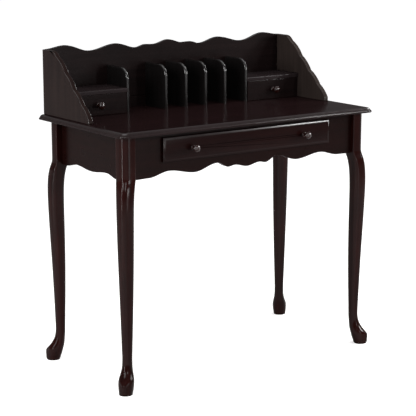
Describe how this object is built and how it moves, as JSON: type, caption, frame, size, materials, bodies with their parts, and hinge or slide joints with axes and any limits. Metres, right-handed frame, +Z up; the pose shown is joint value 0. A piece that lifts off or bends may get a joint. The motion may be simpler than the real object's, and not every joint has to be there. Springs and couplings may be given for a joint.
{
  "type": "writing desk",
  "caption": "Writing desk on cabriole legs with a lipped drawer, scalloped aprons, and a low hutch with letter slots and small drawers.",
  "frame": {"origin": "on the floor under the middle of the desk", "axes": "+Z up, -Y towards the person who sits at the desk, +X to that person's right"},
  "size_m": [0.9284, 0.468, 0.9655],
  "materials": {
    "desktop_lacquer": "espresso lacquer, semi-gloss",
    "case_lacquer": "espresso lacquer, satin",
    "hutch_lacquer": "espresso lacquer, satin",
    "leg_lacquer": "espresso lacquer, semi-gloss",
    "drawer_lacquer": "espresso lacquer, semi-gloss",
    "knob_lacquer": "espresso lacquer, gloss",
    "plain_wood": "unfinished, sanded",
    "zinc_steel": "zinc plated"
  },
  "bodies": {
    "desk": {"desktop": "desktop_lacquer", "leg_front_left": "leg_lacquer", "leg_front_right": "leg_lacquer", "leg_rear_left": "leg_lacquer", "leg_rear_right": "leg_lacquer", "front_apron": "case_lacquer", "left_apron": "case_lacquer", "right_apron": "case_lacquer", "rear_apron": "case_lacquer", "apron_dowels": "plain_wood", "brace_front_left": "plain_wood", "brace_front_right": "plain_wood", "brace_rear_left": "plain_wood", "brace_rear_right": "plain_wood", "hanger_bolts": "zinc_steel", "hanger_nuts": "zinc_steel", "desktop_screws": "zinc_steel", "drawer_runner_left": "plain_wood", "drawer_runner_right": "plain_wood", "runner_dowels": "plain_wood", "drawer_kicker_left": "plain_wood", "drawer_kicker_right": "plain_wood", "kicker_screws": "zinc_steel", "hutch_side_left": "hutch_lacquer", "hutch_side_right": "hutch_lacquer", "hutch_back": "hutch_lacquer", "hutch_shelf_left": "hutch_lacquer", "hutch_shelf_right": "hutch_lacquer", "drawer_partition_left": "hutch_lacquer", "drawer_partition_right": "hutch_lacquer", "letter_divider_1": "hutch_lacquer", "letter_divider_2": "hutch_lacquer", "letter_divider_3": "hutch_lacquer", "letter_divider_4": "hutch_lacquer", "hutch_base_screws": "zinc_steel", "hutch_back_screws": "zinc_steel"},
    "main_drawer": {"main_drawer_front": "drawer_lacquer", "main_drawer_box_front": "plain_wood", "main_drawer_side_left": "plain_wood", "main_drawer_side_right": "plain_wood", "main_drawer_back": "plain_wood", "main_drawer_bottom": "plain_wood", "main_drawer_knob_left": "knob_lacquer", "main_drawer_knob_right": "knob_lacquer", "main_drawer_screws": "zinc_steel"},
    "small_drawer_left": {"small_drawer_left_front": "drawer_lacquer", "small_drawer_left_sides": "plain_wood", "small_drawer_left_back": "plain_wood", "small_drawer_left_bottom": "plain_wood", "small_drawer_left_knob": "knob_lacquer", "small_drawer_left_screw": "zinc_steel"},
    "small_drawer_right": {"small_drawer_right_front": "drawer_lacquer", "small_drawer_right_sides": "plain_wood", "small_drawer_right_back": "plain_wood", "small_drawer_right_bottom": "plain_wood", "small_drawer_right_knob": "knob_lacquer", "small_drawer_right_screw": "zinc_steel"}
  },
  "joints": [
    {"name": "main_drawer_slide", "type": "slide", "parent": "desk", "child": "main_drawer", "axis": [0, -1, 0], "range_m": [0, 0.26]},
    {"name": "small_drawer_left_slide", "type": "slide", "parent": "desk", "child": "small_drawer_left", "axis": [0, -1, 0], "range_m": [0, 0.07]},
    {"name": "small_drawer_right_slide", "type": "slide", "parent": "desk", "child": "small_drawer_right", "axis": [0, -1, 0], "range_m": [0, 0.07]}
  ]
}
